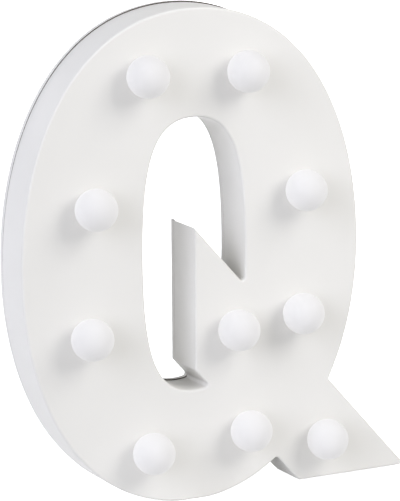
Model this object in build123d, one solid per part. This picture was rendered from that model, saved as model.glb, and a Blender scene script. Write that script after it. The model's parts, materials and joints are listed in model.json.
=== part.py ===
from build123d import *
import math
import os

# A light-up letter Q: a hollow casing with ten globe lights, a back cover with a battery bay,
# a hinged battery door and a slide switch.
# Lengths are in millimetres and angles in degrees.
# The letter is modelled lying on its back: X to the right as it is read, Y up the letter, Z out of
# its face. At the end each piece is stood up, so that Z is up and the face looks along -Y.
# The origin is on the flat that the bowl stands on, midway through the casing's depth.
# A value whose name ends in share is a part of the size that its comment names.

# Outline of the bowl, the counter and the tail
bowl_width = 165.3
bowl_height = 220.3
bowl_crown_share = 0.647  # curve handle at the crown, of half the bowl's width
bowl_tail_share = 0.571  # the same at the foot, on the side of the tail
bowl_flank_share = 0.55  # curve handle at the flank, of half the bowl's height
foot_flat_rise = 0.3
counter_width = 50.3
counter_height = 122.0
counter_crown_share = 0.763  # of half the counter's width
counter_flank_share = 0.706  # of half the counter's height
counter_shift = 0.3  # the counter lies this much to the right of the bowl's middle
counter_rise = 1.2
tail_cut_x = 0.3
tail_tip_rise = 13.2
tail_foot_lift = 1.5
tail_foot_left = 52.8
tail_top_angle = 48.4
tail_under_angle = 47.7
corner_radius = 1.3
corner_turn = 5.0  # degrees of turn from which an outline's joint counts as a corner

# Casing
casing_depth = 23.3
face_thickness = 2.0
wall_thickness = 2.0
cover_thickness = 2.9
seam_gap = 0.16
seal_clearance = 0.02
seal_width = 1.8
cover_rise = 0.5  # the cover and its seal sit this much higher than the shell
face_edge_radius = 1.0
cover_edge_radius = 0.5
lip_height = 2.2
lip_thickness = 1.2
lip_clearance = 0.3

# Globe lights, their sockets and LEDs
globe_radius = 9.3
globe_standoff = 8.0
globe_wall = 1.0
neck_radius = 4.7
neck_tail = 2.5
neck_clearance = 0.1
socket_radius = 6.6
socket_depth = 5.0
led_radius = 2.5
led_flange_radius = 2.9
led_flange_thickness = 1.0
led_height = 8.6
led_clearance = 0.1
leg_radius = 0.25
leg_length = 3.6
leg_pitch = 2.54
# Places on the bowl, as shares of half its width and half its height from its centre
bowl_globe_shares = (
    (0.278, 0.741),
    (-0.310, 0.752),
    (-0.616, 0.249),
    (-0.648, -0.265),
    (-0.297, -0.761),
    (0.289, -0.725),
    (0.628, 0.241),
    (0.611, -0.265),
)
tail_tip_globe_inset = 17.6
tail_foot_globe_inset = 20.9
tail_foot_globe_rise = 19.8

# Cover screws and their bosses
screw_radius = 1.5
screw_clearance = 0.2
thread_clearance = 0.05
screw_head_radius = 2.8
screw_head_height = 1.5
screw_length = 9.0
screw_cross_length = 3.2
screw_cross_width = 0.7
screw_cross_depth = 0.8
boss_radius = 3.3
boss_hole_depth = 9.0
# Places on the bowl, as shares of half its width and half its height from its centre
bowl_screw_shares = (
    (-0.57, 0.545),
    (0.57, 0.545),
    (-0.80, -0.01),
    (0.81, -0.01),
    (-0.66, -0.58),
    (0.0, -0.845),
)
tail_screw_inset = 11.0

# Keyhole slot for hanging
keyhole_x = 6.0
keyhole_drop = 26.0
keyhole_radius = 4.25
keyhole_neck_radius = 2.2
keyhole_neck_length = 8.0

# Battery bay, cells and contacts
cell_diameter = 10.5
cell_length = 44.5
cell_nub_radius = 1.9
cell_nub_length = 1.0
cell_edge_radius = 0.5
cell_gap = 0.5
cell_clearance = 0.4
bay_wall = 1.2
contact_thickness = 0.5
contact_width = 8.6
contact_gap = 0.05
contact_edge_clearance = 0.3
spring_length = 4.0
spring_turns = 3
spring_base_radius = 3.2
spring_tip_radius = 2.2
spring_wire_radius = 0.35
tab_width = 2.0
tab_length = 3.0
tab_clearance = 0.2

# Battery door and its stub pins
door_thickness = 1.8
door_gap = 0.35
door_seat_gap = 0.25
door_margin = 1.6
door_cell_gap = 0.9
stub_radius = 0.9
stub_length = 1.6
stub_clearance = 0.05
stub_end_clearance = 0.3
snap_radius = 0.6
snap_height = 0.2
snap_length = 6.0
grip_groove_count = 3
grip_groove_pitch = 2.4
grip_groove_width = 1.0
grip_groove_depth = 0.4
grip_groove_length = 12.0
scoop_radius = 5.0
scoop_depth = 1.3

# Slide switch
switch_share = (0.632, -0.01)  # of half the bowl's width and half its height
switch_length = 13.0
switch_width = 6.4
switch_height = 5.4
switch_wall = 0.6
switch_travel = 3.0
switch_clearance = 0.3
switch_ear_span = 17.6
switch_ear_radius = 2.2
switch_ear_thickness = 0.8
switch_screw_radius = 0.9
switch_screw_bite = 2.0
switch_screw_head_radius = 1.8
switch_screw_head_height = 1.1
knob_width = 3.0
knob_length = 3.5
knob_recess = 0.3
knob_groove_pitch = 1.2
knob_groove_width = 0.5
knob_groove_depth = 0.4
slider_base_thickness = 1.2
dish_length = 13.0
dish_width = 8.6
dish_depth = 1.3
dish_corner_radius = 2.0
terminal_width = 1.2
terminal_thickness = 0.4
terminal_length = 3.0
terminal_pitch = 4.0

# Wires
wire_radius = 0.55
wire_seat_gap = 0.05
wire_leg_clearance = 0.8
feed_lift = 1.3

# Extra length of every cutter past the face that it cuts, and the reach at which two ends meet
overrun = 1.0
joint_reach = 0.01

# Levels through the depth, from the back face to the front face
front = casing_depth / 2
back = -casing_depth / 2
face_inner = front - face_thickness
cover_inner = back + cover_thickness
shell_rim = cover_inner + seam_gap
socket_back = face_inner - socket_depth
wire_level = socket_back - wire_seat_gap - wire_radius
feed_level = wire_level - feed_lift

# Places worked out from the outline
centre_y = bowl_height / 2 - foot_flat_rise
tip_y = centre_y + tail_tip_rise
tail_foot_y = centre_y - bowl_height / 2 + tail_foot_lift
top_slope = math.tan(math.radians(tail_top_angle))
top_cosine = math.cos(math.radians(tail_top_angle))
under_slope = math.tan(math.radians(tail_under_angle))
under_cosine = math.cos(math.radians(tail_under_angle))


def on_bowl(share):
    """Place on the bowl from its shares of the half width and the half height."""
    return (share[0] * bowl_width / 2, centre_y + share[1] * bowl_height / 2)


def on_tail(rise, inset):
    """Place on the tail, rise above its foot and inset from its long upper edge."""
    y = tail_foot_y + rise
    return (tail_cut_x + (tip_y - y - inset / top_cosine) / top_slope, y)


tip_globe_x = tail_cut_x + tail_tip_globe_inset
tip_globe_y = tip_y - top_slope * tail_tip_globe_inset - tail_tip_globe_inset / top_cosine
tip_globe = (tip_globe_x, tip_globe_y)
foot_globe = on_tail(tail_foot_globe_rise, tail_foot_globe_inset)
# The wires join the globes in this order, from the tail's foot round the bowl to the tail's tip
bowl_globes = [on_bowl(share) for share in bowl_globe_shares]
upper_right, upper_left, left_high, left_low, lower_left, lower_right, right_high, right_low = bowl_globes
globe_places = [
    foot_globe, lower_right, lower_left, left_low, left_high,
    upper_left, upper_right, right_high, right_low, tip_globe,
]
screw_places = [on_bowl(share) for share in bowl_screw_shares]
screw_places.append(on_tail(tail_screw_inset, tail_screw_inset))

# Battery bay's own frame: X along the cells, Y across them, Z inwards from the back face
bay_x = (tip_globe[0] + foot_globe[0]) / 2
bay_y = (tip_globe[1] + foot_globe[1]) / 2
bay_angle = math.degrees(math.atan2(foot_globe[1] - tip_globe[1], foot_globe[0] - tip_globe[0]))
bay_frame = Pos(bay_x, bay_y, back) * Rot(0, 0, bay_angle)
bay_length = cell_length + spring_length + 2 * contact_thickness + 2 * contact_gap
bay_width = 2 * cell_diameter + cell_gap + 2 * cell_clearance
cell_pitch = cell_diameter + cell_gap
cell_bottom = door_thickness + door_cell_gap
cell_level = cell_bottom + cell_diameter / 2
bay_floor = cell_bottom + cell_diameter + cell_clearance
door_width = bay_width + 2 * door_margin
door_end = bay_length / 2 + door_margin
knuckle_radius = cover_thickness / 2
hinge_x = -(bay_length / 2 + bay_wall + door_gap + knuckle_radius)
switch_x, switch_y = on_bowl(switch_share)


def box_between(low, high):
    """Box with two opposite corners."""
    size = [b - a for a, b in zip(low, high)]
    return Pos(*low) * Box(*size, align=(Align.MIN, Align.MIN, Align.MIN))


def rod(x, y, low, high, radius):
    """Upright cylinder from one level to another."""
    return Pos(x, y, low) * Cylinder(radius, high - low, align=(Align.CENTER, Align.CENTER, Align.MIN))


def oval(width, height, crown_shares, flank_share, middle_y):
    """Face bounded by four curved quarters: upper right, upper left, lower left and lower right."""
    a = width / 2
    b = height / 2
    quarters = []
    for (sx, sy), crown_share in zip(((1, 1), (-1, 1), (-1, -1), (1, -1)), crown_shares):
        side = (sx * a, middle_y)
        side_handle = (sx * a, middle_y + sy * flank_share * b)
        crown_handle = (sx * crown_share * a, middle_y + sy * b)
        crown = (0, middle_y + sy * b)
        points = [side, side_handle, crown_handle, crown]
        if sx * sy < 0:
            points.reverse()
        quarters.append(Bezier(*points))
    return Face(Wire(quarters))


def sharp_corners(face):
    """Vertices where the outline turns sharply."""
    corners = []
    for vertex in face.vertices():
        tangents = []
        for edge in face.edges():
            for end in (0, 1):
                if (edge @ end - Vector(vertex)).length < joint_reach:
                    tangents.append(edge % end)
        turn = tangents[0].get_angle(tangents[1])
        if corner_turn < turn < 180 - corner_turn:
            corners.append(vertex)
    return corners


def letter_face(inset):
    """The letter's face, drawn in from its outline: bowl less counter, plus the tail."""
    shrink = 2 * inset
    bowl_shares = (bowl_crown_share, bowl_crown_share, bowl_crown_share, bowl_tail_share)
    bowl = oval(bowl_width - shrink, bowl_height - shrink, bowl_shares, bowl_flank_share, centre_y)
    below = Pos(0, inset - overrun) * Rectangle(bowl_width, 2 * overrun)
    counter = Pos(counter_shift, 0) * oval(
        counter_width + shrink,
        counter_height + shrink,
        4 * (counter_crown_share,),
        counter_flank_share,
        centre_y + counter_rise,
    )
    cut = tail_cut_x + inset
    foot = tail_foot_y + inset
    top_drop = inset / top_cosine
    under_lift = inset / under_cosine
    tail = make_face(Polyline(
        (cut, tip_y - top_drop - top_slope * inset),
        (tail_cut_x + (tip_y - top_drop - foot) / top_slope, foot),
        (tail_foot_left + (under_lift - inset) / under_slope, foot),
        (cut, tail_foot_y + under_slope * (tail_foot_left - cut) + under_lift),
        close=True,
    ))
    letter = bowl - below - counter + tail
    return letter.faces()[0]


def slab(face, low, high):
    """Solid on a face, from one level to another."""
    return Pos(0, 0, low) * extrude(face, high - low)


sharp_outline = letter_face(0)
# The tail's upper tip stays sharp
tail_tip = Vector(tail_cut_x, tip_y)
rounded_corners = [c for c in sharp_corners(sharp_outline) if (Vector(c) - tail_tip).length > corner_radius]
outline = fillet(rounded_corners, corner_radius)


def make_front_shell():
    """Face and walls, open at the back, with globe holes and screw bosses."""
    body = slab(outline, shell_rim, front)
    body = fillet(body.faces().sort_by(Axis.Z)[-1].edges(), face_edge_radius)
    body -= slab(letter_face(wall_thickness), shell_rim - overrun, face_inner)
    for x, y in globe_places:
        body -= rod(x, y, face_inner - overrun, front + overrun, neck_radius + neck_clearance)
    for x, y in screw_places:
        body += rod(x, y, cover_inner, face_inner, boss_radius)
        hole_top = cover_inner + boss_hole_depth
        body -= rod(x, y, cover_inner - overrun, hole_top, screw_radius + thread_clearance)
    return body


def make_seam_seal():
    """Dark strip between the shell's rim and the cover, round the letter and round its counter."""
    outer = Pos(0, cover_rise) * outline
    low = cover_inner + seal_clearance
    high = shell_rim - seal_clearance
    return slab(outer, low, high) - slab(letter_face(seal_width), low - overrun, high + overrun)


def cover_lip():
    """Rib inside the rim that locates the cover in the shell."""
    outer = letter_face(wall_thickness + lip_clearance)
    inner = letter_face(wall_thickness + lip_clearance + lip_thickness)
    low = cover_inner
    high = cover_inner + lip_height
    return slab(outer, low, high) - slab(inner, low - overrun, high + overrun)


def keyhole():
    """Cutter of the hanging slot: a round entry and a narrow neck above it."""
    y = centre_y + bowl_height / 2 - keyhole_drop
    low = back - overrun
    high = cover_inner + overrun
    neck_top = y + keyhole_neck_length
    cutter = rod(keyhole_x, y, low, high, keyhole_radius)
    cutter += rod(keyhole_x, neck_top, low, high, keyhole_neck_radius)
    return cutter + box_between(
        (keyhole_x - keyhole_neck_radius, y, low), (keyhole_x + keyhole_neck_radius, neck_top, high)
    )


def bay_tub():
    """Walls and floor of the battery bay, in the bay's frame."""
    half_x = bay_length / 2
    half_y = bay_width / 2
    tub = box_between(
        (-half_x - bay_wall, -half_y - bay_wall, cover_thickness),
        (half_x + bay_wall, half_y + bay_wall, bay_floor + bay_wall),
    )
    tub -= box_between((-half_x, -half_y, 0), (half_x, half_y, bay_floor))
    for side in (-1, 1):
        middle = side * cell_pitch / 2
        half_slot = tab_width / 2 + tab_clearance
        tub -= box_between(
            (-half_x - bay_wall - overrun, middle - half_slot, cell_level - tab_clearance),
            (-half_x + overrun, middle + half_slot, cell_level + contact_thickness + tab_clearance),
        )
    return tub


def door_recess():
    """Cutter of the door's seat, its knuckle's slot, its stub holes and the opening to the cells."""
    half_x = bay_length / 2
    half_y = bay_width / 2
    half_door = door_width / 2 + door_gap
    cutter = box_between((-half_x, -half_y, -overrun), (half_x, half_y, cover_thickness + overrun))
    cutter += box_between(
        (hinge_x, -half_door, -overrun), (door_end + door_gap, half_door, door_thickness + door_seat_gap)
    )
    slot_half = knuckle_radius + door_gap
    cutter += box_between(
        (hinge_x - slot_half, -half_door, -overrun),
        (hinge_x + slot_half, half_door, cover_thickness + overrun),
    )
    stub_reach = door_width / 2 + stub_length + stub_end_clearance
    axle = Cylinder(stub_radius + stub_clearance, 2 * stub_reach, rotation=(90, 0, 0))
    cutter += Pos(hinge_x, 0, knuckle_radius) * axle
    scoop = rod(door_end, 0, -overrun, scoop_depth, scoop_radius)
    return cutter + scoop


def switch_opening():
    """Cutter of the switch's dish, its slot and its two screw holes, in the letter's frame."""
    dish = RectangleRounded(dish_width, dish_length, dish_corner_radius)
    cutter = Pos(switch_x, switch_y, back - overrun) * extrude(dish, dish_depth + overrun)
    half_x = knob_width / 2 + switch_clearance
    half_y = (knob_length + switch_travel) / 2 + switch_clearance
    cutter += box_between(
        (switch_x - half_x, switch_y - half_y, back - overrun),
        (switch_x + half_x, switch_y + half_y, cover_inner + overrun),
    )
    for side in (-1, 1):
        y = switch_y + side * switch_ear_span / 2
        low = cover_inner - switch_screw_bite - thread_clearance
        cutter += rod(switch_x, y, low, cover_inner + overrun, switch_screw_radius + thread_clearance)
    return cutter


def make_back_cover():
    """Flat back with its lip, battery bay, switch slot, keyhole and screw holes."""
    plate = slab(Pos(0, cover_rise) * outline, back, cover_inner)
    plate = fillet(plate.faces().sort_by(Axis.Z)[0].edges(), cover_edge_radius)
    cover = plate + cover_lip() + bay_frame * bay_tub()
    cover -= bay_frame * door_recess()
    cover -= switch_opening()
    cover -= keyhole()
    for x, y in screw_places:
        cover -= rod(x, y, back - overrun, cover_inner + overrun, screw_radius + screw_clearance)
        head_room = screw_head_height + screw_clearance
        cover -= rod(x, y, back - overrun, back + head_room, screw_head_radius + screw_clearance)
    return cover


def make_globe(x, y):
    """Hollow ball with a neck that passes through the face."""
    middle = front + globe_standoff
    neck_end = face_inner - neck_tail
    globe = Pos(x, y, middle) * Sphere(globe_radius)
    globe += rod(x, y, neck_end, middle, neck_radius)
    globe -= Pos(x, y, middle) * Sphere(globe_radius - globe_wall)
    return globe - rod(x, y, neck_end - overrun, middle, neck_radius - globe_wall)


def make_socket(x, y):
    """Cup behind the face: it takes the globe's neck and holds the LED."""
    neck_room = face_inner - neck_tail - neck_clearance
    flange_top = neck_room - led_flange_thickness
    socket = rod(x, y, socket_back, face_inner, socket_radius)
    socket -= rod(x, y, neck_room, face_inner + overrun, neck_radius + neck_clearance)
    socket -= rod(x, y, flange_top, neck_room + overrun, led_radius + led_clearance)
    return socket - rod(x, y, socket_back - overrun, flange_top, led_flange_radius + led_clearance)


def led_base():
    """Level of the underside of each LED."""
    return face_inner - neck_tail - neck_clearance - 2 * led_flange_thickness


def leg_place(number, side):
    """Place of an LED's leg beside the wires' path: 1 on its outer side, -1 on its inner side."""
    before = globe_places[max(number - 1, 0)]
    after = globe_places[min(number + 1, len(globe_places) - 1)]
    heading = math.atan2(after[1] - before[1], after[0] - before[0])
    x, y = globe_places[number]
    reach = side * leg_pitch / 2
    return (x - reach * math.sin(heading), y + reach * math.cos(heading))


def make_led(number):
    """LED with a flange, a domed body and two legs."""
    x, y = globe_places[number]
    base = led_base()
    shoulder = base + led_height - led_radius
    led = rod(x, y, base, base + led_flange_thickness, led_flange_radius)
    led += rod(x, y, base, shoulder, led_radius)
    led += Pos(x, y, shoulder) * Sphere(led_radius)
    for side in (-1, 1):
        led += rod(*leg_place(number, side), base - leg_length, base + led_flange_thickness, leg_radius)
    return led


def make_cover_screws():
    """Pan head screws with a cross recess, one solid for each boss."""
    screws = []
    head_base = back + screw_clearance
    head_top = head_base + screw_head_height
    half_long = screw_cross_length / 2
    half_narrow = screw_cross_width / 2
    for x, y in screw_places:
        screw = rod(x, y, head_base, head_top, screw_head_radius)
        screw += rod(x, y, head_base, head_top + screw_length, screw_radius)
        for half_x, half_y in ((half_long, half_narrow), (half_narrow, half_long)):
            screw -= box_between(
                (x - half_x, y - half_y, head_base - overrun),
                (x + half_x, y + half_y, head_base + screw_cross_depth),
            )
        screws.append(screw)
    return screws


def make_battery(side):
    """One cell, with its plus nub at the hinge end on side 1 and at the far end on side -1."""
    nub_tip = -side * (bay_length / 2 - contact_thickness - contact_gap)
    can_middle = nub_tip + side * (cell_nub_length + cell_length) / 2
    can_length = cell_length - cell_nub_length
    can = Cylinder(cell_diameter / 2, can_length, rotation=(0, 90, 0))
    can = fillet(can.edges().filter_by(GeomType.CIRCLE), cell_edge_radius)
    nub = Cylinder(cell_nub_radius, cell_length / 2, rotation=(0, 90, 0))
    y = side * cell_pitch / 2
    cell = Pos(can_middle, y, cell_level) * can
    cell += Pos(nub_tip + side * cell_length / 4, y, cell_level) * nub
    return bay_frame * cell


def contact_plate(end, low_y, high_y):
    """Plate that stands against the bay's end wall: end is -1 at the hinge and 1 at the far end."""
    wall = end * bay_length / 2
    inner = wall - end * contact_thickness
    low_z = cell_bottom + contact_edge_clearance
    high_z = bay_floor - contact_edge_clearance
    return box_between((min(wall, inner), low_y, low_z), (max(wall, inner), high_y, high_z))


def contact_tab(side):
    """Tongue through the bay's end wall for the wire."""
    outer = -bay_length / 2 - bay_wall - tab_length
    middle = side * cell_pitch / 2
    return box_between(
        (outer, middle - tab_width / 2, cell_level),
        (-bay_length / 2, middle + tab_width / 2, cell_level + contact_thickness),
    )


def contact_spring(end, side):
    """Tapered coil from its plate towards the cell's flat end."""
    rise = spring_length - spring_wire_radius
    taper = math.degrees(math.atan2(spring_base_radius - spring_tip_radius, rise))
    path = Helix(rise / spring_turns, rise, spring_base_radius, cone_angle=-taper)
    section = Plane(path @ 0, z_dir=path % 0) * Circle(spring_wire_radius)
    coil = sweep(section, path=path)
    start = end * (bay_length / 2 - contact_thickness)
    return Pos(start, side * cell_pitch / 2, cell_level) * Rot(0, -end * 90, 0) * coil


def contact_span(side):
    """Edges of one cell's contact plate across the bay."""
    middle = side * cell_pitch / 2
    return middle - contact_width / 2, middle + contact_width / 2


def make_contact_plus():
    """Plate and tab that the first cell's nub presses on."""
    return bay_frame * (contact_plate(-1, *contact_span(1)) + contact_tab(1))


def make_contact_minus():
    """Plate, tab and spring behind the second cell."""
    plate = contact_plate(-1, *contact_span(-1)) + contact_tab(-1)
    return bay_frame * (plate + contact_spring(-1, -1))


def make_contact_bridge():
    """Plate across both cells at the far end, with the first cell's spring."""
    plate = contact_plate(1, contact_span(-1)[0], contact_span(1)[1])
    return bay_frame * (plate + contact_spring(1, 1))


def make_battery_door():
    """Flush door with a knuckle and two stub pins at one end and a snap bead at the other."""
    half_door = door_width / 2
    door = box_between((hinge_x, -half_door, 0), (door_end, half_door, door_thickness))
    knuckle = Cylinder(knuckle_radius, door_width, rotation=(90, 0, 0))
    stubs = Cylinder(stub_radius, door_width + 2 * stub_length, rotation=(90, 0, 0))
    door += Pos(hinge_x, 0, knuckle_radius) * (knuckle + stubs)
    bead = Cylinder(snap_radius, snap_length, rotation=(90, 0, 0))
    door += Pos(door_end + snap_height - snap_radius, 0, door_thickness / 2) * bead
    for count in range(1, grip_groove_count + 1):
        x = door_end - scoop_radius - count * grip_groove_pitch
        door -= box_between(
            (x - grip_groove_width / 2, -grip_groove_length / 2, -overrun),
            (x + grip_groove_width / 2, grip_groove_length / 2, grip_groove_depth),
        )
    return bay_frame * door


def make_switch_body():
    """Housing with two screw ears and a cavity for the slider."""
    low = cover_inner
    ear_shape = SlotCenterToCenter(switch_ear_span, 2 * switch_ear_radius, rotation=90)
    body = Pos(switch_x, switch_y, low) * extrude(ear_shape, switch_ear_thickness)
    half_x = switch_width / 2
    half_y = switch_length / 2
    body += box_between(
        (switch_x - half_x, switch_y - half_y, low),
        (switch_x + half_x, switch_y + half_y, low + switch_height),
    )
    cavity_depth = slider_base_thickness + 2 * switch_clearance
    body -= box_between(
        (switch_x - half_x + switch_wall, switch_y - half_y + switch_wall, low - overrun),
        (switch_x + half_x - switch_wall, switch_y + half_y - switch_wall, low + cavity_depth),
    )
    for side in (-1, 1):
        y = switch_y + side * switch_ear_span / 2
        top = low + switch_ear_thickness + overrun
        body -= rod(switch_x, y, low - overrun, top, switch_screw_radius + thread_clearance)
    return body


def make_switch_slider():
    """Knob on a base plate, at rest at the lower end of its travel."""
    y = switch_y - switch_travel / 2
    base_low = cover_inner + switch_clearance
    base_high = base_low + slider_base_thickness
    base_half_x = switch_width / 2 - switch_wall - switch_clearance
    base_half_y = (switch_length - switch_travel) / 2 - switch_wall - switch_clearance
    slider = box_between(
        (switch_x - base_half_x, y - base_half_y, base_low),
        (switch_x + base_half_x, y + base_half_y, base_high),
    )
    half_x = knob_width / 2
    half_y = knob_length / 2
    tip = back + knob_recess
    slider += box_between((switch_x - half_x, y - half_y, tip), (switch_x + half_x, y + half_y, base_high))
    for side in (-1, 0, 1):
        middle = y + side * knob_groove_pitch
        slider -= box_between(
            (switch_x - half_x - overrun, middle - knob_groove_width / 2, tip - overrun),
            (switch_x + half_x + overrun, middle + knob_groove_width / 2, tip + knob_groove_depth),
        )
    return slider


def terminal_tip():
    """Level of the free ends of the switch's terminals."""
    return cover_inner + switch_height + terminal_length


def make_switch_terminals():
    """Three flat pins on the inner side of the switch."""
    pins = []
    for place in (-1, 0, 1):
        y = switch_y + place * terminal_pitch
        pins.append(box_between(
            (switch_x - terminal_width / 2, y - terminal_thickness / 2, cover_inner + switch_height),
            (switch_x + terminal_width / 2, y + terminal_thickness / 2, terminal_tip()),
        ))
    return pins


def make_switch_screws():
    """Two small screws that hold the switch's ears to the cover."""
    screws = []
    seat = cover_inner + switch_ear_thickness
    for side in (-1, 1):
        y = switch_y + side * switch_ear_span / 2
        screw = rod(switch_x, y, cover_inner - switch_screw_bite, seat, switch_screw_radius)
        screw += rod(switch_x, y, seat, seat + switch_screw_head_height, switch_screw_head_radius)
        screws.append(screw)
    return screws


def wire_run(start, end, start_gap, end_gap):
    """Straight wire between two points, stopped short of them by its gaps."""
    reach = Vector(*end) - Vector(*start)
    along = reach.normalized()
    first = Vector(*start) + along * start_gap
    length = reach.length - start_gap - end_gap
    straight = Cylinder(wire_radius, length, align=(Align.CENTER, Align.CENTER, Align.MIN))
    return Plane(first, z_dir=along) * straight


def lamp_wires(side):
    """Runs from LED to LED on one side of the wires' path."""
    runs = []
    for number in range(len(globe_places) - 1):
        start = (*leg_place(number, side), wire_level)
        end = (*leg_place(number + 1, side), wire_level)
        runs.append(wire_run(start, end, wire_leg_clearance, wire_leg_clearance))
    return runs


def tab_seat(side):
    """Point just above a battery tab, where its wire starts."""
    x = -bay_length / 2 - bay_wall - tab_length / 2
    z = cell_level + contact_thickness + wire_seat_gap + wire_radius
    seat = bay_frame * Pos(x, side * cell_pitch / 2, z)
    return tuple(seat.position)


def make_wires_black():
    """Lamp wires on the outer side, and the run from the minus tab to the tail's tip."""
    leg = (*leg_place(len(globe_places) - 1, 1), feed_level)
    return lamp_wires(1) + [wire_run(tab_seat(-1), leg, 0, wire_leg_clearance)]


def make_wires_red():
    """Lamp wires on the inner side, and the runs from the plus tab through the switch."""
    level = terminal_tip() + wire_seat_gap + wire_radius
    middle_pin = (switch_x, switch_y, level)
    lower_pin = (switch_x, switch_y - terminal_pitch, level)
    leg = (*leg_place(len(globe_places) - 2, -1), feed_level)
    to_switch = wire_run(tab_seat(1), middle_pin, 0, 0)
    from_switch = wire_run(lower_pin, leg, 0, wire_leg_clearance)
    return lamp_wires(-1) + [to_switch, from_switch]


def save(name, pieces):
    """Stand a piece or a group up and write it to its own file."""
    group = pieces if isinstance(pieces, list) else [pieces]
    solids = [Plane.XZ * solid for piece in group for solid in piece.solids()]
    shape = solids[0] if len(solids) == 1 else Compound(solids)
    shape.label = name
    export_step(shape, f"parts/{name}.step")


def main():
    os.makedirs("parts", exist_ok=True)
    save("front_shell", make_front_shell())
    save("back_cover", make_back_cover())
    save("seam_seal", make_seam_seal())
    for number, (x, y) in enumerate(globe_places):
        save(f"globe_{number + 1:02d}", make_globe(x, y))
        save(f"socket_{number + 1:02d}", make_socket(x, y))
        save(f"led_{number + 1:02d}", make_led(number))
    save("cover_screws", make_cover_screws())
    save("battery_door", make_battery_door())
    save("battery_1", make_battery(1))
    save("battery_2", make_battery(-1))
    save("contact_plus", make_contact_plus())
    save("contact_minus", make_contact_minus())
    save("contact_bridge", make_contact_bridge())
    save("switch_body", make_switch_body())
    save("switch_slider", make_switch_slider())
    save("switch_terminals", make_switch_terminals())
    save("switch_screws", make_switch_screws())
    save("wires_red", make_wires_red())
    save("wires_black", make_wires_black())


main()
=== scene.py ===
import json
import math

import bmesh
import bpy
from bpy.props import FloatProperty, FloatVectorProperty, IntProperty, PointerProperty
from mathutils import Matrix, Vector


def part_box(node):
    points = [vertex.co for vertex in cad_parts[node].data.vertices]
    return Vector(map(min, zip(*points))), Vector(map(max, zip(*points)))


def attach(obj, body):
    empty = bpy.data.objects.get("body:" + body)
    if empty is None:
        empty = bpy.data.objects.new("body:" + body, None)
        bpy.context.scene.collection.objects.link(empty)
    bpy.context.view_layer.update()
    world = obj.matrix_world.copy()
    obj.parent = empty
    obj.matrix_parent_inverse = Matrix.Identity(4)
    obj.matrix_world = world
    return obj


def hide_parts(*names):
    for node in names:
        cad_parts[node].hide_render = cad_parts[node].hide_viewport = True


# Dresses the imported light-up letter. The casing, the seal, the battery door, the switch, the
# sockets, the LEDs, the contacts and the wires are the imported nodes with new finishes. The globe
# lights, the cover screws and the cells are modelled here in finer form. Lengths are in metres: X
# runs to the right as the letter is read, Y from its face to its back, and Z up.

bl_info = {
    "name": "Light-up Letter",
    "version": (1, 0, 0),
    "blender": (4, 5, 0),
    "location": "View3D > Sidebar > Letter",
    "description": "Models and finishes the globe lights, screws and cells of a light-up letter",
    "category": "Object",
}

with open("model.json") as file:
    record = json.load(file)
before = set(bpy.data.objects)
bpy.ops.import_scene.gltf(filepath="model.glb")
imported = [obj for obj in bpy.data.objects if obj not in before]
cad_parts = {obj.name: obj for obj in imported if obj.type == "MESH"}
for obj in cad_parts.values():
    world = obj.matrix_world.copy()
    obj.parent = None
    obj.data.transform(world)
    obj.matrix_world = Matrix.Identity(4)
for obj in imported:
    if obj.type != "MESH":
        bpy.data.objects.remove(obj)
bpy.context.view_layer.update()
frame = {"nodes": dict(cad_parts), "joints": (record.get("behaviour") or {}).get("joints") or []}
MM = 0.001
GLOBES = [name for name in sorted(frame["nodes"]) if name.startswith("globe_")]
# Points that lie closer than this are on one level
LEVEL = 0.01 * MM
# A face looks along a direction if its normal has at least this much of it
SQUARE_ON = 0.99
# Points this near to a screw's first point belong to the same screw
SCREW_REACH = 8 * MM
# The span that holds most values of a noise texture
NOISE_SPAN = {"From Min": 0.3, "From Max": 0.7}
# The floor, which lies a hair under the letter's feet
FLOOR_SIZE = 16
FLOOR_DROP = 0.02 * MM
# Where the lamps aim and stand, and where the photograph was taken from
AIM = Vector((0.01, -0.012, 0.11))
KEY_PLACE = Vector((0.63, -0.87, 0.88))
BACK_PLACE = Vector((0.01, 2.2, 0.3))
CAMERA_PLACE = Vector((-0.585109, -1.14592, 0.381222))


def linear(code):
    """Linear colour of a hex code, by the sRGB curve."""
    shares = [int(code[i:i + 2], 16) / 255 for i in (1, 3, 5)]
    return [s / 12.92 if s <= 0.04045 else ((s + 0.055) / 1.055) ** 2.4 for s in shares]


def colour(name, description, code):
    """Property of one colour, with an sRGB hex code as its default."""
    return FloatVectorProperty(
        name=name, description=description, subtype="COLOR", size=3, min=0, max=1,
        default=linear(code),
    )


def amount(name, description, default, **settings):
    """Property of one plain number."""
    return FloatProperty(name=name, description=description, default=default, **settings)


def length(name, description, millimetres):
    """Property of one length, with its default in millimetres."""
    return amount(
        name, description, millimetres * MM, subtype="DISTANCE", unit="LENGTH", min=0, precision=5
    )


def angle(name, description, degrees):
    """Property of one angle, with its default in degrees."""
    return amount(name, description, math.radians(degrees), subtype="ANGLE")


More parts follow.
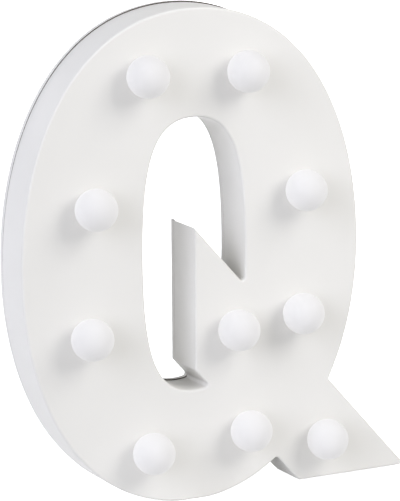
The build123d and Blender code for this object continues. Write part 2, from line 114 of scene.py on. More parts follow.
class LetterSizes(bpy.types.PropertyGroup):
    """Sizes of the pieces that are modelled here"""

    globe_neck_radius: length("Globe neck radius", "Radius of the neck in the face's hole", 4.7)
    globe_wall: length("Globe wall", "Thickness of the globe's opal wall", 1.0)
    globe_waist: length("Globe waist", "Rounding where the ball turns into its neck", 0.35)
    globe_segments: IntProperty(
        name="Globe segments", description="Faces round a globe", default=72, min=24
    )
    screw_head_radius: length("Screw head radius", "Radius of a cover screw's pan head", 2.8)
    screw_head_height: length("Screw head height", "Height of a cover screw's pan head", 1.5)
    screw_head_round: length("Screw head rounding", "Rounding of the pan head's rim", 0.75)
    screw_shank_radius: length("Screw shank radius", "Radius of a cover screw's shank", 1.5)
    screw_tip: length("Screw tip", "Length of the shank's blunt point", 1.2)
    screw_taper: amount("Screw taper", "Width of the point's end, as a share of the shank", 0.45)
    recess_length: length("Recess length", "Length of each arm pair of the cross recess", 3.2)
    recess_width: length("Recess width", "Width of the cross recess at the top", 0.85)
    recess_depth: length("Recess depth", "Depth of the cross recess", 0.9)
    recess_taper: amount("Recess taper", "Size of the recess's floor, as a share of its top", 0.5)
    cell_shoulder: length("Cell shoulder", "Rounding of the can's two rims", 0.6)
    cell_lip: length("Cell lip", "Width of the sleeve's turned-over edge", 0.9)
    cell_step: length("Cell step", "Thickness of the sleeve's edge over the can's ends", 0.15)
    cell_nub_radius: length("Cell nub radius", "Radius of the plus nub", 1.9)
    cell_nub_length: length("Cell nub length", "Height of the plus nub", 1.0)
    cell_nub_round: length("Cell nub rounding", "Rounding of the nub's rim", 0.3)
    cell_band: length("Cell band", "Width of the light band at the sleeve's plus end", 5.0)
    led_legs: length("LED legs", "Length of an LED's legs behind its resin", 3.6)


class LetterColours(bpy.types.PropertyGroup):
    """Colours of the finishes"""

    shell: colour("Shell", "Satin white of the front shell", "#EDECE9")
    shell_shade: colour("Shell variation", "The shell's faint second tone", "#EAE9E5")
    cover: colour("Cover", "White of the back cover and its door", "#EBEAE7")
    globe: colour("Globe", "Opal white of the globes", "#F7F6F6")
    # The seal's dark colour is painted shade for the seam's gap, and its second colour is painted
    # paler on the upright sides, where that shade fades
    seal: colour("Seal", "Dark foam in the seam", "#47403C")
    seal_sides: colour("Seal overspray", "The foam where overspray has paled it", "#B9B6B0")
    socket: colour("Socket", "Natural moulded sockets", "#E3E1DA")
    resin: colour("LED resin", "Warm resin of the LEDs", "#F0E3B4")
    steel: colour("Screw steel", "Zinc plating of the screws", "#BFC0C2")
    nickel: colour("Contact nickel", "Nickel plating of the contacts", "#C9C5BD")
    sleeve: colour("Cell sleeve", "Dark part of the cells' sleeve", "#26404F")
    band: colour("Cell band", "Light band of the cells' sleeve", "#C8CCCB")
    switch: colour("Switch", "Moulded body of the switch", "#1B1B1D")
    knob: colour("Knob", "Knob of the switch", "#222224")
    wire_red: colour("Red wire", "Insulation of the plus wires", "#B3221B")
    wire_black: colour("Black wire", "Insulation of the minus wires", "#18181A")


class LetterStage(bpy.types.PropertyGroup):
    """Floor, lamps and camera"""

    front_light: amount("Front light", "Soft light from before the letter", 0.505)
    rear_light: amount("Rear light", "Soft light from behind the letter", 0.06)
    left_light: amount("Left light", "Soft light from the letter's left", 5.05)
    left_tint: colour("Left tint", "Colour of the soft light from the left", "#F0F2FF")
    key_power: amount("Key lamp", "Power of the upper right lamp", 7.95, unit="POWER")
    key_size: length("Key lamp size", "Side of the upper right lamp, which softens shadows", 820)
    back_power: amount("Back lamp", "Power of the lamp behind", 22, unit="POWER")
    back_size: length("Back lamp size", "Side of the lamp behind", 500)
    lamp_tint: colour("Lamp tint", "Colour of the two lamps", "#FFFDFA")
    lens: amount("Lens", "Focal length for the photograph's frame", 214.07)
    yaw: angle("Yaw", "Turn of the camera to the right", 27.398)
    pitch: angle("Pitch", "Tilt of the camera downwards", 11.867)
    roll: angle("Roll", "Roll of the camera", -0.39)
    floor: colour("Floor", "Pale floor", "#FFFFFF")
    floor_shade: colour("Floor bounce", "What the floor gives back to the letter", "#D2D2D2")


# Small tools for the materials


def add_node(tree, kind, inputs=None, **settings):
    """Add one shader node. An input is a value, or a pair of a node and its output to link from."""
    node = tree.nodes.new(kind)
    for name, value in settings.items():
        setattr(node, name, value)
    for name, value in (inputs or {}).items():
        if isinstance(value, tuple) and isinstance(value[0], bpy.types.Node):
            tree.links.new(value[0].outputs[value[1]], node.inputs[name])
        else:
            node.inputs[name].default_value = value
    return node


def start_material(name):
    """New empty material, its tree and its Object coordinates."""
    material = bpy.data.materials.new(name)
    material.use_nodes = True
    material.node_tree.nodes.clear()
    return material, material.node_tree, add_node(material.node_tree, "ShaderNodeTexCoord")


def close_material(tree, inputs):
    """Principled shader with these inputs, on the material's output."""
    shader = add_node(tree, "ShaderNodeBsdfPrincipled", inputs)
    add_node(tree, "ShaderNodeOutputMaterial", {"Surface": (shader, "BSDF")})


def with_alpha(rgb, share=1.0):
    """Colour as sockets take it, with full alpha, and brighter or darker by share."""
    return (*(share * c for c in rgb), 1.0)


def per_size(millimetres):
    """Texture scale at which one pattern cell has this size."""
    return 1 / (millimetres * MM)


def satin_plastic(name, base, shade, peel, peel_height, roughness):
    """Moulded ABS under satin white lacquer: cloudy by a hair, with a sprayed coat's faint peel.

    peel and peel_height are the size and height of the coat's waves in millimetres, and roughness
    its lowest and highest value. Shade is painted into the colour, and the surface made duller,
    on the rounded front edge, to tone down its highlight, in recesses, by how occluded they are,
    and most of all on surfaces that face down near the foot.
    """
    material, tree, place = start_material(name)
    clouds = add_node(tree, "ShaderNodeTexNoise", {
        "Vector": (place, "Object"), "Scale": per_size(45), "Detail": 2.0, "Roughness": 0.5,
    })
    tone = add_node(tree, "ShaderNodeMix", {
        0: (clouds, 0), 6: with_alpha(base), 7: with_alpha(shade),
    }, data_type="RGBA")
    smears = add_node(tree, "ShaderNodeTexNoise", {
        "Vector": (place, "Object"), "Scale": per_size(9), "Detail": 3.0, "Roughness": 0.6,
    })
    sheen = add_node(tree, "ShaderNodeMapRange", {
        "Value": (smears, 0), **NOISE_SPAN, "To Min": roughness[0], "To Max": roughness[1],
    })
    # Painted shade that tones down the edge highlight: strongest where the surface turns from the
    # face to the walls
    facing = add_node(tree, "ShaderNodeSeparateXYZ", {"Vector": (place, "Normal")})
    slant = add_node(tree, "ShaderNodeMath", {0: (facing, "Y")}, operation="ABSOLUTE")
    rest = add_node(tree, "ShaderNodeMath", {0: 1.0, 1: (slant, 0)}, operation="SUBTRACT")
    rounded = add_node(tree, "ShaderNodeMath", {0: (slant, 0), 1: (rest, 0)}, operation="MULTIPLY")
    edge_shade = add_node(tree, "ShaderNodeMapRange", {
        "Value": (rounded, 0), "From Min": 0.0, "From Max": 0.25, "To Min": 0.0, "To Max": 0.04,
    })
    # Painted shade in recesses, by ambient occlusion, and on surfaces that face down near the foot
    height = add_node(tree, "ShaderNodeSeparateXYZ", {"Vector": (place, "Object")})
    under = add_node(tree, "ShaderNodeMapRange", {
        "Value": (facing, "Z"), "From Min": -0.6, "From Max": -0.35, "To Min": 1.0, "To Max": 0.0,
    })
    low = add_node(tree, "ShaderNodeMapRange", {
        "Value": (height, "Z"), "From Min": 20 * MM, "From Max": 32 * MM,
        "To Min": 1.0, "To Max": 0.0,
    })
    below = add_node(tree, "ShaderNodeMath", {0: (under, 0), 1: (low, 0)}, operation="MULTIPLY")
    # Ambient occlusion of the shell itself sets the painted shade in recesses
    occlusion = add_node(tree, "ShaderNodeAmbientOcclusion", {
        "Distance": 40 * MM,
    }, samples=6, only_local=True)
    recess_shade = add_node(tree, "ShaderNodeMapRange", {
        "Value": (occlusion, "AO"), "From Min": 0.3, "From Max": 0.8, "To Min": 0.17, "To Max": 0.0,
    })
    sheltered = add_node(tree, "ShaderNodeMapRange", {
        "Value": (occlusion, "AO"), "From Min": 0.75, "From Max": 0.97, "To Min": 0.75, "To Max": 0.0,
    })
    # Painted shade on sheltered down-facing surfaces near the foot, plus that in all recesses
    hollow_shade = add_node(tree, "ShaderNodeMath", {
        0: (below, 0), 1: (sheltered, 0), 2: (recess_shade, 0),
    }, operation="MULTIPLY_ADD")
    painted_shade = add_node(tree, "ShaderNodeMath", {
        0: (edge_shade, 0), 1: (hollow_shade, 0),
    }, operation="ADD", use_clamp=True)
    # Painted shade: the summed mask darkens the tone towards a fifth of the second tone
    shaded_tone = add_node(tree, "ShaderNodeMix", {
        0: (painted_shade, 0), 6: (tone, 2), 7: with_alpha(shade, 0.2),
    }, data_type="RGBA")
    # The surface is made duller where the shade is painted
    dulled = add_node(tree, "ShaderNodeMath", {
        0: (painted_shade, 0), 1: 0.2, 2: (sheen, 0),
    }, operation="MULTIPLY_ADD")
    waves = add_node(tree, "ShaderNodeTexNoise", {
        "Vector": (place, "Object"), "Scale": per_size(peel), "Detail": 2.0, "Roughness": 0.45,
    })
    bump = add_node(tree, "ShaderNodeBump", {
        "Height": (waves, 0), "Strength": 1.0, "Distance": peel_height * MM,
    })
    close_material(tree, {
        "Base Color": (shaded_tone, 2), "Roughness": (dulled, 0), "IOR": 1.5, "Normal": (bump, "Normal"),
    })
    return material


def opal_plastic(name, base):
    """Opal polycarbonate, blow moulded: milky and even all over, with a satin skin.

    A hollow ball passes the light that enters it from wall to wall until it is spread evenly. A
    render gives that up after a few bounces, so a painted glow stands for it, over a base colour
    darkened to about half.
    """
    material, tree, place = start_material(name)
    skin = add_node(tree, "ShaderNodeTexNoise", {
        "Vector": (place, "Object"), "Scale": per_size(3.5), "Detail": 2.0, "Roughness": 0.5,
    })
    satin = add_node(tree, "ShaderNodeMapRange", {
        "Value": (skin, 0), **NOISE_SPAN, "To Min": 0.46, "To Max": 0.56,
    })
    bump = add_node(tree, "ShaderNodeBump", {
        "Height": (skin, 0), "Strength": 1.0, "Distance": 0.02 * MM,
    })
    milk = add_node(tree, "ShaderNodeTexNoise", {
        "Vector": (place, "Object"), "Scale": per_size(12), "Detail": 1.0,
    })
    tone = add_node(tree, "ShaderNodeMix", {
        0: (milk, 0), 6: with_alpha(base, 0.56), 7: with_alpha(base, 0.54),
    }, data_type="RGBA")
    close_material(tree, {
        "Base Color": (tone, 2), "Roughness": (satin, 0), "IOR": 1.58, "Specular IOR Level": 0.08,
        "Normal": (bump, "Normal"), "Subsurface Weight": 0.5,
        "Subsurface Radius": (1.8 * MM, 1.8 * MM, 1.8 * MM), "Subsurface Scale": 1.0,
        # Painted glow, which evens out the globes' shading
        "Emission Color": with_alpha(base), "Emission Strength": 0.36,
    })
    return material


def moulded_plastic(name, base, grain, grain_height, roughness, ior=1.5):
    """Plain moulding from a spark-eroded tool: even colour and a fine grain.

    The real grain is near 0.1 mm. It is drawn as coarse as grain says, in millimetres, and as high
    as grain_height says, to show at all.
    """
    material, tree, place = start_material(name)
    patches = add_node(tree, "ShaderNodeTexNoise", {
        "Vector": (place, "Object"), "Scale": per_size(7), "Detail": 2.0,
    })
    tone = add_node(tree, "ShaderNodeMix", {
        0: (patches, 0), 6: with_alpha(base), 7: with_alpha(base, 0.94),
    }, data_type="RGBA")
    matt = add_node(tree, "ShaderNodeMapRange", {
        "Value": (patches, 0), **NOISE_SPAN, "To Min": roughness[0], "To Max": roughness[1],
    })
    pits = add_node(tree, "ShaderNodeTexNoise", {
        "Vector": (place, "Object"), "Scale": per_size(grain), "Detail": 3.0, "Roughness": 0.6,
    })
    bump = add_node(tree, "ShaderNodeBump", {
        "Height": (pits, 0), "Strength": 1.0, "Distance": grain_height * MM,
    })
    close_material(tree, {
        "Base Color": (tone, 2), "Roughness": (matt, 0), "IOR": ior, "Normal": (bump, "Normal"),
    })
    return material


def plated_steel(name, base, roughness):
    """Steel under a thin bright plating: bright, with faint drawing marks and dull spots."""
    material, tree, place = start_material(name)
    drawn = add_node(tree, "ShaderNodeMapping", {
        "Vector": (place, "Object"), "Scale": (1.0, 1.0, 8.0),
    })
    marks = add_node(tree, "ShaderNodeTexNoise", {
        "Vector": (drawn, "Vector"), "Scale": per_size(1.6), "Detail": 3.0, "Roughness": 0.6,
    })
    tone = add_node(tree, "ShaderNodeMix", {
        0: (marks, 0), 6: with_alpha(base), 7: with_alpha(base, 0.82),
    }, data_type="RGBA")
    dull = add_node(tree, "ShaderNodeMapRange", {
        "Value": (marks, 0), **NOISE_SPAN, "To Min": roughness[0], "To Max": roughness[1],
    })
    bump = add_node(tree, "ShaderNodeBump", {
        "Height": (marks, 0), "Strength": 1.0, "Distance": 0.01 * MM,
    })
    close_material(tree, {
        "Base Color": (tone, 2), "Roughness": (dull, 0), "Metallic": 1.0,
        "Normal": (bump, "Normal"),
    })
    return material


def foam_rubber(name, base, pale_sides):
    """Closed-cell foam, cut from sheet: dull, with small open cells along the cut.

    Its dark colour is painted shade for the seam's gap. It is paler along the upright sides, to its
    second colour, where that shade fades.
    """
    material, tree, place = start_material(name)
    cells = add_node(tree, "ShaderNodeTexVoronoi", {
        "Vector": (place, "Object"), "Scale": per_size(0.6),
    })
    tone = add_node(tree, "ShaderNodeMix", {
        0: (cells, "Distance"), 6: with_alpha(base), 7: with_alpha(base, 1.5),
    }, data_type="RGBA")
    facing = add_node(tree, "ShaderNodeSeparateXYZ", {"Vector": (place, "Normal")})
    sideways = add_node(tree, "ShaderNodeMath", {0: (facing, "X")}, operation="ABSOLUTE")
    upright = add_node(tree, "ShaderNodeMapRange", {
        "Value": (sideways, 0), "From Min": 0.62, "From Max": 0.86, "To Min": 0.0, "To Max": 1.0,
    })
    # Painted paler on the upright sides, where the seam's shade fades
    sided_tone = add_node(tree, "ShaderNodeMix", {
        0: (upright, 0), 6: (tone, 2), 7: with_alpha(pale_sides),
    }, data_type="RGBA")
    bump = add_node(tree, "ShaderNodeBump", {
        "Height": (cells, "Distance"), "Strength": 1.0, "Distance": 0.08 * MM,
    })
    close_material(tree, {
        "Base Color": (sided_tone, 2), "Roughness": 0.9, "IOR": 1.45, "Normal": (bump, "Normal"),
    })
    return material


def led_finish(name, resin, steel, legs_from):
    """Warm epoxy resin with a hard gloss, and bright tinned legs behind the level legs_from."""
    material, tree, place = start_material(name)
    parts = add_node(tree, "ShaderNodeSeparateXYZ", {"Vector": (place, "Object")})
    legs = add_node(tree, "ShaderNodeMath", {
        0: (parts, "Y"), 1: legs_from,
    }, operation="GREATER_THAN")
    tone = add_node(tree, "ShaderNodeMix", {
        0: (legs, 0), 6: with_alpha(resin), 7: with_alpha(steel),
    }, data_type="RGBA")
    skin = add_node(tree, "ShaderNodeTexNoise", {
        "Vector": (place, "Object"), "Scale": per_size(1.2),
    })
    gloss = add_node(tree, "ShaderNodeMapRange", {
        "Value": (skin, 0), **NOISE_SPAN, "To Min": 0.12, "To Max": 0.24,
    })
    bump = add_node(tree, "ShaderNodeBump", {
        "Height": (skin, 0), "Strength": 1.0, "Distance": 0.01 * MM,
    })
    close_material(tree, {
        "Base Color": (tone, 2), "Roughness": (gloss, 0), "IOR": 1.54, "Metallic": (legs, 0),
        "Normal": (bump, "Normal"),
    })
    return material


def cell_sleeve(name, dark, light, along, band_from, plus_up):
    """Shrunk film on a dry cell: two plain colours with a sharp edge, and a soft gloss.

    along is the cells' direction and band_from the distance along it where the light band starts.
    The band is on the high side of it where plus_up is true, and else on the low side.
    """
    material, tree, place = start_material(name)
    run = add_node(tree, "ShaderNodeVectorMath", {
        0: (place, "Object"), 1: along,
    }, operation="DOT_PRODUCT")
    band = add_node(tree, "ShaderNodeMath", {
        0: (run, "Value"), 1: band_from,
    }, operation="GREATER_THAN" if plus_up else "LESS_THAN")
    tone = add_node(tree, "ShaderNodeMix", {
        0: (band, 0), 6: with_alpha(dark), 7: with_alpha(light),
    }, data_type="RGBA")
    film = add_node(tree, "ShaderNodeTexNoise", {
        "Vector": (place, "Object"), "Scale": per_size(5), "Detail": 2.0,
    })
    gloss = add_node(tree, "ShaderNodeMapRange", {
        "Value": (film, 0), **NOISE_SPAN, "To Min": 0.2, "To Max": 0.34,
    })
    bump = add_node(tree, "ShaderNodeBump", {
        "Height": (film, 0), "Strength": 1.0, "Distance": 0.03 * MM,
    })
    close_material(tree, {
        "Base Color": (tone, 2), "Roughness": (gloss, 0), "IOR": 1.5, "Normal": (bump, "Normal"),
    })
    return material


# Small tools for modelling


def only(piece):
    """Make this the one selected object, in object mode."""
    bpy.ops.object.select_all(action="DESELECT")
    piece.select_set(True)
    bpy.context.view_layer.objects.active = piece


def added(name):
    """Name the primitive just added and bake its place into its mesh."""
    piece = bpy.context.object
    piece.name = name
    piece.data.name = name
    bpy.ops.object.transform_apply(location=True, rotation=True, scale=True)
    return piece


def pick(piece, kind, test):
    """In edit mode, select only the faces or edges that pass the test."""
    bpy.ops.mesh.select_mode(type=kind)
    bpy.ops.mesh.select_all(action="DESELECT")
    mesh = bmesh.from_edit_mesh(piece.data)
    for part in mesh.faces if kind == "FACE" else mesh.edges:
        if test(part):
            part.select_set(True)
    mesh.select_flush_mode()
    bmesh.update_edit_mesh(piece.data)


def copy_to(piece, offset, name):
    """Copy a finished piece, mesh and all, to another place."""
    only(piece)
    bpy.ops.object.duplicate_move(TRANSFORM_OT_translate={"value": offset})
    return added(name)


def draw_out(way):
    """In edit mode, extrude the selected region by the vector way."""
    bpy.ops.mesh.extrude_region_move(TRANSFORM_OT_translate={"value": way})


def crease(degrees):
    """Shade the active object smooth, apart from edges sharper than this."""
    bpy.ops.object.shade_smooth_by_angle(angle=math.radians(degrees))


def reach(node, along):
    """Lowest and highest distance of a node's points along a direction."""
    runs = [vertex.co.dot(along) for vertex in frame["nodes"][node].data.vertices]
    return min(runs), max(runs)


def middle(node):
    """Centre of a node's box."""
    low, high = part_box(node)
    return (low + high) / 2


def dress(node, material):
    """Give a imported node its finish."""
    slots = frame["nodes"][node].data.materials
    slots.clear()
    slots.append(material)


def hand_over(piece, body, slot, *nodes):
    """Let a piece ride on its body and stand for its nodes, which it hides; slot is not used."""
    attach(piece, body)
    if nodes:
        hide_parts(*nodes)


class LETTER_OT_casing(bpy.types.Operator):
    """Finish the front shell, the back cover, the battery door and the seam's seal"""

    bl_idname = "letter.casing"
    bl_label = "Finish the Casing"

    def execute(self, context):
        colours = context.scene.letter_colours
        dress("front_shell", satin_plastic(
            "Satin white lacquer on ABS", colours.shell, colours.shell_shade,
            peel=2.2, peel_height=0.012, roughness=(0.42, 0.52),
        ))
        grained = moulded_plastic(
            "Grained white ABS", colours.cover,
            grain=1.3, grain_height=0.03, roughness=(0.48, 0.58),
        )
        dress("back_cover", grained)
        dress("battery_door", grained)
        # The seal is painted dark as the seam's shade
        dress("seam_seal", foam_rubber("Closed-cell foam with painted seam shade", colours.seal, colours.seal_sides))
        return {"FINISHED"}


class LETTER_OT_globes(bpy.types.Operator):
    """Model one opal globe with its neck, and copy it to all the places"""

    bl_idname = "letter.globes"
    bl_label = "Make the Globes"

    def execute(self, context):
        sizes = context.scene.letter_sizes
        opal = opal_plastic("Opal polycarbonate", context.scene.letter_colours.globe)
        first = GLOBES[0]
        low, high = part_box(first)
        radius = (high.x - low.x) / 2
        centre = middle(first)
        centre.y = low.y + radius
        face_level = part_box("front_shell")[0].y
        bpy.ops.object.select_all(action="DESELECT")
        bpy.ops.mesh.primitive_uv_sphere_add(
            segments=sizes.globe_segments, ring_count=sizes.globe_segments // 2,
            radius=radius, location=centre, rotation=(math.radians(90), 0, 0),
        )
        globe = added("opal_" + first)
        # Open the ball at the face and draw its neck out into the casing
        bpy.ops.object.mode_set(mode="EDIT")
        bpy.ops.mesh.select_all(action="SELECT")
        bpy.ops.mesh.bisect(plane_co=(0, face_level, 0), plane_no=(0, 1, 0), clear_outer=True)
        mouth = math.sqrt(radius ** 2 - (face_level - centre.y) ** 2)
        shrink = sizes.globe_neck_radius / mouth
        rim = Vector((centre.x, face_level, centre.z))
        bpy.ops.transform.resize(value=(shrink, 1, shrink), center_override=rim)
        draw_out((0, high.y - face_level, 0))
        pick(globe, "EDGE", lambda edge: all(abs(v.co.y - face_level) < LEVEL for v in edge.verts))
        bpy.ops.mesh.bevel(offset=sizes.globe_waist, segments=3, affect="EDGES")
        bpy.ops.mesh.select_all(action="SELECT")
        bpy.ops.mesh.normals_make_consistent(inside=False)
        bpy.ops.object.mode_set(mode="OBJECT")
        wall = globe.modifiers.new("Wall", "SOLIDIFY")
        wall.thickness = sizes.globe_wall
        wall.offset = -1
        bpy.ops.object.modifier_apply(modifier=wall.name)
        crease(40)
        globe.data.materials.append(opal)
        for name in GLOBES[1:]:
            place = middle(name)
            place.y = centre.y
            copy = copy_to(globe, place - centre, "opal_" + name)
            hand_over(copy, "casing", "globe_white", name)
        hand_over(globe, "casing", "globe_white", first)
        return {"FINISHED"}


class LETTER_OT_screws(bpy.types.Operator):
    """Model one pan head screw with a cross recess, and copy it to the cover's seats"""

    bl_idname = "letter.screws"
    bl_label = "Make the Cover Screws"

    def execute(self, context):
        sizes = context.scene.letter_sizes
        steel = plated_steel("Zinc-plated steel", context.scene.letter_colours.steel, (0.24, 0.36))
        places = self.places()
        low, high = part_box("cover_screws")
        top = high.y
        seat = top - sizes.screw_head_height
        start = places[0]
        bpy.ops.object.select_all(action="DESELECT")
        bpy.ops.mesh.primitive_cylinder_add(
            vertices=48, radius=sizes.screw_head_radius, depth=sizes.screw_head_height,
            location=(start.x, (top + seat) / 2, start.z), rotation=(math.radians(90), 0, 0),
        )
        screw = added("cover_screw_1")
        # Round the pan head's rim, then draw the shank and its blunt point out of the underside
        bpy.ops.object.mode_set(mode="EDIT")
        pick(screw, "EDGE", lambda edge: all(abs(v.co.y - top) < LEVEL for v in edge.verts))
        bpy.ops.mesh.bevel(offset=sizes.screw_head_round, segments=5, affect="EDGES")
        pick(screw, "FACE", lambda face: face.normal.y < -SQUARE_ON)
        bpy.ops.mesh.inset(thickness=sizes.screw_head_radius - sizes.screw_shank_radius)
        shank = seat - low.y - sizes.screw_tip
        draw_out((0, -shank, 0))
        draw_out((0, -sizes.screw_tip, 0))
        bpy.ops.transform.resize(
            value=(sizes.screw_taper, 1, sizes.screw_taper),
            center_override=(start.x, low.y, start.z),
        )
        bpy.ops.object.mode_set(mode="OBJECT")
        for turn in (0, 90):
            self.cut_recess(screw, start, top, turn, sizes)
        only(screw)
        crease(32)
        screw.data.materials.append(steel)
        screws = [screw]
        for number, place in enumerate(places[1:], start=2):
            screws.append(copy_to(screw, place - start, f"cover_screw_{number}"))
        for piece in screws:
            hand_over(piece, "casing", "screw_steel", "cover_screws")
        dress("switch_screws", steel)
        return {"FINISHED"}

    def places(self):
        """Middle of each screw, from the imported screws' points."""
        groups = []
        for vertex in frame["nodes"]["cover_screws"].data.vertices:
            point = Vector((vertex.co.x, 0, vertex.co.z))
            for group in groups:
                if (point - group[0]).length < SCREW_REACH:
                    group.append(point)
                    break
            else:
                groups.append([point])
        middles = []
        for group in groups:
            xs = [point.x for point in group]
            zs = [point.z for point in group]
            middles.append(Vector(((min(xs) + max(xs)) / 2, 0, (min(zs) + max(zs)) / 2)))
        return middles

    def cut_recess(self, screw, start, top, turn, sizes):
        """Cut one tapered bar of the cross out of the head."""
        bpy.ops.object.select_all(action="DESELECT")
        bpy.ops.mesh.primitive_cube_add(
            size=1, location=(start.x, top, start.z), rotation=(0, math.radians(turn), 0),
            scale=(sizes.recess_length, 2 * sizes.recess_depth, sizes.recess_width),
        )
        cutter = added("recess_cutter")
        bpy.ops.object.mode_set(mode="EDIT")
        pick(cutter, "FACE", lambda face: face.normal.y < -SQUARE_ON)
        bpy.ops.transform.resize(
            value=(sizes.recess_taper, 1, sizes.recess_taper),
            center_override=(start.x, top - sizes.recess_depth, start.z),
        )
        bpy.ops.object.mode_set(mode="OBJECT")
        only(screw)
        cut = screw.modifiers.new("Recess", "BOOLEAN")
        cut.operation = "DIFFERENCE"
        cut.object = cutter
        bpy.ops.object.modifier_apply(modifier=cut.name)
        bpy.data.objects.remove(cutter)


class LETTER_OT_cells(bpy.types.Operator):
    """Model the two dry cells with their sleeves, nubs and flat ends"""

    bl_idname = "letter.cells"
    bl_label = "Make the Cells"

    def execute(self, context):
        colours = context.scene.letter_colours
        hinge = next(joint for joint in frame["joints"] if joint["type"] == "hinge")
        across = Vector(hinge["axis"]).normalized()
        along = Vector((across.z, 0, -across.x))
        tin = plated_steel("Tinned steel", colours.nickel, (0.22, 0.34))
        for name, side in (("battery_1", -1), ("battery_2", 1)):
            self.make_cell(context, name, along, across, side, tin)
        return {"FINISHED"}

    def make_cell(self, context, name, along, across, side, tin):
        """One cell. Its nub is at the low end along the bay if side is -1, else at the high end."""
        sizes = context.scene.letter_sizes
        colours = context.scene.letter_colours
        low, high = reach(name, along)
        radius = (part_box(name)[1].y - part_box(name)[0].y) / 2
        can_low = low + (sizes.cell_nub_length if side < 0 else 0)
        can_high = high - (sizes.cell_nub_length if side > 0 else 0)
        level = middle(name).y
        row = sum(reach(name, across)) / 2
        centre = along * (can_low + can_high) / 2 + across * row + Vector((0, level, 0))
        bpy.ops.object.select_all(action="DESELECT")
        bpy.ops.mesh.primitive_cylinder_add(
            vertices=64, radius=radius, depth=can_high - can_low, location=centre,
            rotation=along.to_track_quat("Z", "Y").to_euler(),
        )
        cell = added("dry_cell_" + name[-1])
        plus = along * side
        band_from = can_low + sizes.cell_band if side < 0 else can_high - sizes.cell_band
        cell.data.materials.append(cell_sleeve(
            "Shrunk cell sleeve " + name[-1], colours.sleeve, colours.band,
            along, band_from, plus_up=side > 0,
        ))
        cell.data.materials.append(tin)
        # Round the can's rims, turn the sleeve over them, and raise the nub at the plus end
        bpy.ops.object.mode_set(mode="EDIT")
        pick(cell, "EDGE", lambda edge: (
            abs((edge.verts[0].co - edge.verts[1].co).dot(along)) < LEVEL
        ))
        bpy.ops.mesh.bevel(offset=sizes.cell_shoulder, segments=4, affect="EDGES")
        for way in (1, -1):
            pick(cell, "FACE", lambda face: face.normal.dot(plus) * way > SQUARE_ON)
            bpy.ops.mesh.inset(thickness=sizes.cell_lip)
            draw_out(plus * -way * sizes.cell_step)
            cell.active_material_index = 1
            bpy.ops.object.material_slot_assign()
            if way > 0:
                flat = radius - sizes.cell_shoulder - sizes.cell_lip
                bpy.ops.mesh.inset(thickness=flat - sizes.cell_nub_radius)
                draw_out(plus * (sizes.cell_nub_length + sizes.cell_step))
                bpy.ops.mesh.bevel(offset=sizes.cell_nub_round, segments=3, affect="EDGES")
        bpy.ops.object.mode_set(mode="OBJECT")
        crease(35)
        hand_over(cell, "casing", "cell_sleeve", name)


class LETTER_OT_switch(bpy.types.Operator):
    """Finish the slide switch"""

    bl_idname = "letter.switch"
    bl_label = "Finish the Switch"

    def execute(self, context):
        colours = context.scene.letter_colours
        dress("switch_body", moulded_plastic(
            "Black moulded nylon", colours.switch,
            grain=0.9, grain_height=0.02, roughness=(0.42, 0.52), ior=1.53,
        ))
        dress("switch_slider", moulded_plastic(
            "Black acetal knob", colours.knob,
            grain=0.8, grain_height=0.015, roughness=(0.34, 0.44), ior=1.48,
        ))
        return {"FINISHED"}


class LETTER_OT_wiring(bpy.types.Operator):
    """Finish the sockets, the LEDs, the contacts, the terminals and the wires"""

    bl_idname = "letter.wiring"
    bl_label = "Finish the Wiring"

    def execute(self, context):
        colours = context.scene.letter_colours
        nylon = moulded_plastic(
            "Natural nylon", colours.socket,
            grain=1.0, grain_height=0.02, roughness=(0.4, 0.5), ior=1.53,
        )
        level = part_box("led_01")[1].y - context.scene.letter_sizes.led_legs
        resin = led_finish("LED resin and tinned legs", colours.resin, colours.steel, level)
        for name in GLOBES:
            dress(name.replace("globe", "socket"), nylon)
            dress(name.replace("globe", "led"), resin)
        nickel = plated_steel("Nickel-plated spring steel", colours.nickel, (0.18, 0.3))
        for node in ("contact_plus", "contact_minus", "contact_bridge", "switch_terminals"):
            dress(node, nickel)
        for shade, tone in (("red", colours.wire_red), ("black", colours.wire_black)):
            dress("wires_" + shade, moulded_plastic(
                shade.capitalize() + " wire insulation", tone,
                grain=1.5, grain_height=0.02, roughness=(0.3, 0.4), ior=1.54,
            ))
        return {"FINISHED"}


